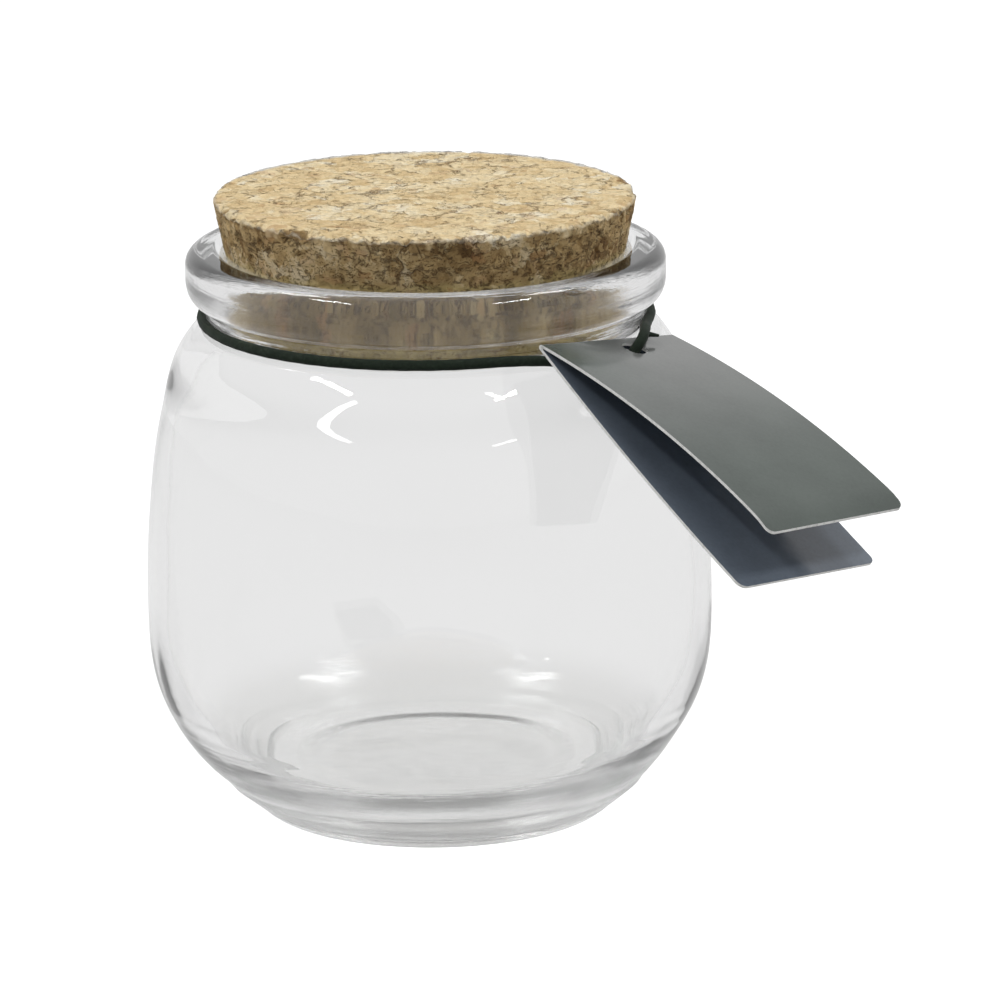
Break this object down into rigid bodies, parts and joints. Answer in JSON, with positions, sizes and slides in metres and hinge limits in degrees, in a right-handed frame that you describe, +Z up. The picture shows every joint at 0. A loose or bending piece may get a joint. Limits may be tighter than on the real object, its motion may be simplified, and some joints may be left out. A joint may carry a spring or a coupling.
{
  "type": "glass storage jar with cork stopper",
  "caption": "Squat round glass storage jar with a rolled rim, a tapered cork stopper and a blank folded tag held at its neck by a thin elastic loop.",
  "frame": {"origin": "centre of the foot, on the surface that the jar stands on", "axes": "+Z up along the jar's axis, -Y towards the viewer of the picture, +X to that viewer's right; the tag hangs out between +X and -Y"},
  "size_m": [0.1299, 0.1303, 0.1102],
  "materials": {
    "jar_glass": "clear, fire polished, slightly wavy",
    "pressed_cork": "agglomerated cork, sanded, with open pores and chipped arris",
    "elastic_cord": "matte braided dark green-black cover",
    "tag_card": "glossy dark faces, pale cut edges"
  },
  "bodies": {
    "jar": {"jar_body": "jar_glass"},
    "cork": {"cork_stopper": "pressed_cork"},
    "loop": {"neck_elastic": "elastic_cord"},
    "front_leaf": {"tag_front_leaf": "tag_card"},
    "back_leaf": {"tag_back_leaf": "tag_card"}
  },
  "joints": [
    {"name": "cork_lift", "type": "slide", "parent": "jar", "child": "cork", "axis": [0, 0, 1], "range_m": [0, 0.04]},
    {"name": "loop_turn", "type": "hinge", "parent": "jar", "child": "loop", "pos_m": [0, 0, 0.08883], "axis": [0, 0, 1], "continuous": true},
    {"name": "tag_swing", "type": "hinge", "parent": "loop", "child": "front_leaf", "pos_m": [0.03137, -0.03029, 0.09053], "axis": [0.6927, 0.7173, -0.075], "range_deg": [-20, 25], "deforming": ["neck_elastic"]},
    {"name": "tag_open", "type": "hinge", "parent": "front_leaf", "child": "back_leaf", "pos_m": [0.03137, -0.03029, 0.09053], "axis": [0.6927, 0.7173, -0.075], "range_deg": [-10.4, 15], "deforming": ["neck_elastic"]}
  ]
}
